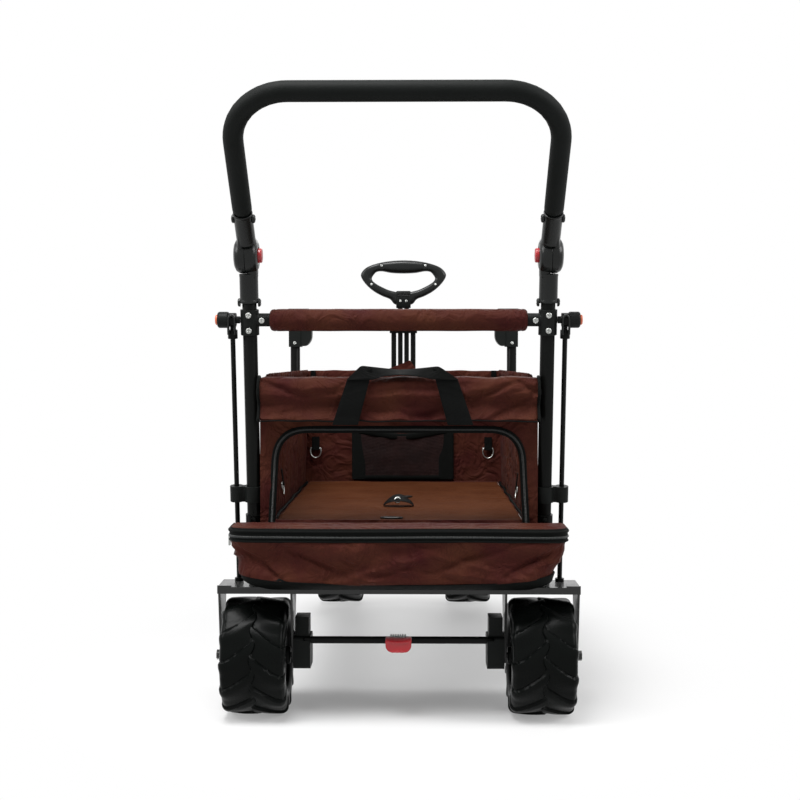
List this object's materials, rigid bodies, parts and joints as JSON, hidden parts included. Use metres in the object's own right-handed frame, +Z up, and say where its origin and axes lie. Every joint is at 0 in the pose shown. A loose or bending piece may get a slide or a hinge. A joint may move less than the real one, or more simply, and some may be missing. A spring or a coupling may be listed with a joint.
{
  "type": "beach wagon",
  "caption": "Folding beach wagon: fabric tub between two hinged steel end frames, wide treaded tyres, rear push bar, footwell box, front swivel wheels and telescopic pull handle.",
  "frame": {"origin": "on the ground under the middle of the wagon's box", "axes": "+Z up, +Y towards the front (pull-handle end), -Y towards the push bar, +X to the right of someone pushing"},
  "size_m": [0.646, 1.4136, 1.0454],
  "materials": {
    "black_steel": "satin black powder coat",
    "black_plastic": "moulded, fine grain",
    "foam": "closed-cell foam",
    "tyre": "moulded EVA tread",
    "brown_fabric": "plain-weave coated polyester",
    "webbing": "woven polypropylene",
    "red_plastic": "moulded",
    "orange_plastic": "moulded",
    "zinc": "zinc plated"
  },
  "bodies": {
    "rear_frame": {"rear_bridge": "black_steel", "crossbar_tube": "black_steel", "crossbar_pad": "brown_fabric", "rear_wall": "brown_fabric", "rolled_door": "brown_fabric", "carry_handle": "webbing", "foot_box": "brown_fabric", "rear_post_left": "black_steel", "t_clamp_left": "black_plastic", "crossbar_knob_left": "black_plastic", "stay_rod_left": "black_steel", "post_collar_left": "black_plastic", "brake_housing_left": "black_plastic", "hinge_base_left": "black_plastic", "side_wall_left": "brown_fabric", "rear_post_right": "black_steel", "t_clamp_right": "black_plastic", "crossbar_knob_right": "black_plastic", "stay_rod_right": "black_steel", "post_collar_right": "black_plastic", "brake_housing_right": "black_plastic", "hinge_base_right": "black_plastic", "side_wall_right": "brown_fabric"},
    "push_bar": {"push_bar_tube": "black_steel", "push_bar_grip": "foam", "hinge_cap_left": "black_plastic", "hinge_cap_right": "black_plastic"},
    "brake_lever": {"brake_rod": "black_steel", "brake_pedal": "red_plastic"},
    "floor_rear": {"floor_board_rear": "black_plastic", "floor_mat_rear": "brown_fabric"},
    "floor_front": {"floor_board_front": "black_plastic", "floor_mat_front": "brown_fabric"},
    "front_end": {"front_frame": "black_steel", "front_crossbar": "black_plastic", "front_wall": "brown_fabric"},
    "pull_lower": {"pull_tubes_lower": "black_steel"},
    "pull_upper": {"pull_tubes_upper": "black_steel", "pull_grip": "black_plastic"},
    "zip_puller": {"zip_slider": "black_steel"},
    "rear_stay_left": {"rear_stay_left": "black_steel"},
    "front_stay_left": {"front_stay_left": "black_steel"},
    "rear_stay_right": {"rear_stay_right": "black_steel"},
    "front_stay_right": {"front_stay_right": "black_steel"},
    "release_button_left": {"hinge_button_left": "red_plastic"},
    "end_cap_left": {"end_button_left": "orange_plastic"},
    "release_button_right": {"hinge_button_right": "red_plastic"},
    "end_cap_right": {"end_button_right": "orange_plastic"},
    "brake_pin_left": {"brake_pin_left": "zinc"},
    "brake_pin_right": {"brake_pin_right": "zinc"},
    "rear_wheel_left": {"rear_tyre_left": "tyre", "rear_rim_left": "black_plastic"},
    "rear_wheel_right": {"rear_tyre_right": "tyre", "rear_rim_right": "black_plastic"},
    "caster_left": {"caster_fork_left": "black_steel"},
    "caster_wheel_left": {"caster_tyre_left": "tyre", "caster_rim_left": "black_plastic"},
    "caster_right": {"caster_fork_right": "black_steel"},
    "caster_wheel_right": {"caster_tyre_right": "tyre", "caster_rim_right": "black_plastic"}
  },
  "joints": [
    {"name": "fold", "type": "hinge", "parent": "rear_frame", "child": "floor_rear", "pos_m": [0, -0.38682, 0.318], "axis": [1, 0, 0], "range_deg": [0, 75], "deforming": ["side_wall_left", "side_wall_right"]},
    {"name": "floor_middle", "type": "hinge", "parent": "floor_rear", "child": "floor_front", "pos_m": [0, -0.02982, 0.318], "axis": [1, 0, 0], "range_deg": [-150, 0]},
    {"name": "floor_front_hinge", "type": "hinge", "parent": "floor_front", "child": "front_end", "pos_m": [0, 0.32718, 0.318], "axis": [1, 0, 0], "range_deg": [0, 75]},
    {"name": "rear_stay_hinge_left", "type": "hinge", "parent": "rear_frame", "child": "rear_stay_left", "pos_m": [-0.2375, -0.39287, 0.57], "axis": [-1, 0, 0], "range_deg": [0, 75]},
    {"name": "front_stay_hinge_left", "type": "hinge", "parent": "front_end", "child": "front_stay_left", "pos_m": [-0.241, 0.32113, 0.57], "axis": [1, 0, 0], "range_deg": [0, 75]},
    {"name": "rear_stay_hinge_right", "type": "hinge", "parent": "rear_frame", "child": "rear_stay_right", "pos_m": [0.2375, -0.39287, 0.57], "axis": [-1, 0, 0], "range_deg": [0, 75]},
    {"name": "front_stay_hinge_right", "type": "hinge", "parent": "front_end", "child": "front_stay_right", "pos_m": [0.241, 0.32113, 0.57], "axis": [1, 0, 0], "range_deg": [0, 75]},
    {"name": "push_bar_tilt", "type": "hinge", "parent": "rear_frame", "child": "push_bar", "pos_m": [0, -0.45913, 0.80179], "axis": [1, 0, 0], "range_deg": [-75, 80]},
    {"name": "release_press_left", "type": "slide", "parent": "rear_frame", "child": "release_button_left", "axis": [-1, 0, 0], "range_m": [0, 0.004], "stiffness_N_per_m": 800, "springref_m": -0.002},
    {"name": "end_press_left", "type": "slide", "parent": "rear_frame", "child": "end_cap_left", "axis": [1, 0, 0], "range_m": [0, 0.003], "stiffness_N_per_m": 800, "springref_m": -0.002},
    {"name": "release_press_right", "type": "slide", "parent": "rear_frame", "child": "release_button_right", "axis": [1, 0, 0], "range_m": [0, 0.004], "stiffness_N_per_m": 800, "springref_m": -0.002},
    {"name": "end_press_right", "type": "slide", "parent": "rear_frame", "child": "end_cap_right", "axis": [-1, 0, 0], "range_m": [0, 0.003], "stiffness_N_per_m": 800, "springref_m": -0.002},
    {"name": "brake_press", "type": "hinge", "parent": "rear_frame", "child": "brake_lever", "pos_m": [0, -0.42287, 0.13464], "axis": [1, 0, 0], "range_deg": [0, 25]},
    {"name": "brake_pin_slide_left", "type": "slide", "parent": "rear_frame", "child": "brake_pin_left", "axis": [-1, 0, 0], "range_m": [0, 0.008]},
    {"name": "brake_pin_slide_right", "type": "slide", "parent": "rear_frame", "child": "brake_pin_right", "axis": [1, 0, 0], "range_m": [0, 0.008]},
    {"name": "rear_wheel_spin_left", "type": "hinge", "parent": "rear_frame", "child": "rear_wheel_left", "pos_m": [-0.25, -0.39587, 0.10164], "axis": [1, 0, 0], "continuous": true},
    {"name": "rear_wheel_spin_right", "type": "hinge", "parent": "rear_frame", "child": "rear_wheel_right", "pos_m": [0.25, -0.39587, 0.10164], "axis": [1, 0, 0], "continuous": true},
    {"name": "caster_swivel_left", "type": "hinge", "parent": "front_end", "child": "caster_left", "pos_m": [-0.163, 0.55713, 0.217], "axis": [0, 0, 1], "continuous": true},
    {"name": "caster_wheel_spin_left", "type": "hinge", "parent": "caster_left", "child": "caster_wheel_left", "pos_m": [-0.163, 0.60513, 0.10164], "axis": [1, 0, 0], "continuous": true},
    {"name": "caster_swivel_right", "type": "hinge", "parent": "front_end", "child": "caster_right", "pos_m": [0.163, 0.55713, 0.217], "axis": [0, 0, 1], "continuous": true},
    {"name": "caster_wheel_spin_right", "type": "hinge", "parent": "caster_right", "child": "caster_wheel_right", "pos_m": [0.163, 0.60513, 0.10164], "axis": [1, 0, 0], "continuous": true},
    {"name": "pull_tilt", "type": "hinge", "parent": "front_end", "child": "pull_lower", "pos_m": [0, 0.37613, 0.262], "axis": [-1, 0, 0], "range_deg": [0, 75]},
    {"name": "pull_slide", "type": "slide", "parent": "pull_lower", "child": "pull_upper", "axis": [0, 0, 1], "range_m": [0, 0.345]},
    {"name": "zip_run", "type": "slide", "parent": "rear_frame", "child": "zip_puller", "axis": [0, 1, 0], "range_m": [0, 0.035]}
  ],
  "couplings": [
    {"joint": "floor_middle", "follows": "fold", "ratio": -2},
    {"joint": "floor_front_hinge", "follows": "fold", "ratio": 1},
    {"joint": "rear_stay_hinge_left", "follows": "fold", "ratio": 1},
    {"joint": "front_stay_hinge_left", "follows": "fold", "ratio": 1},
    {"joint": "rear_stay_hinge_right", "follows": "fold", "ratio": 1},
    {"joint": "front_stay_hinge_right", "follows": "fold", "ratio": 1},
    {"joint": "brake_pin_slide_left", "follows": "brake_press", "m_per_rad": 0.0183},
    {"joint": "brake_pin_slide_right", "follows": "brake_press", "m_per_rad": 0.0183}
  ]
}
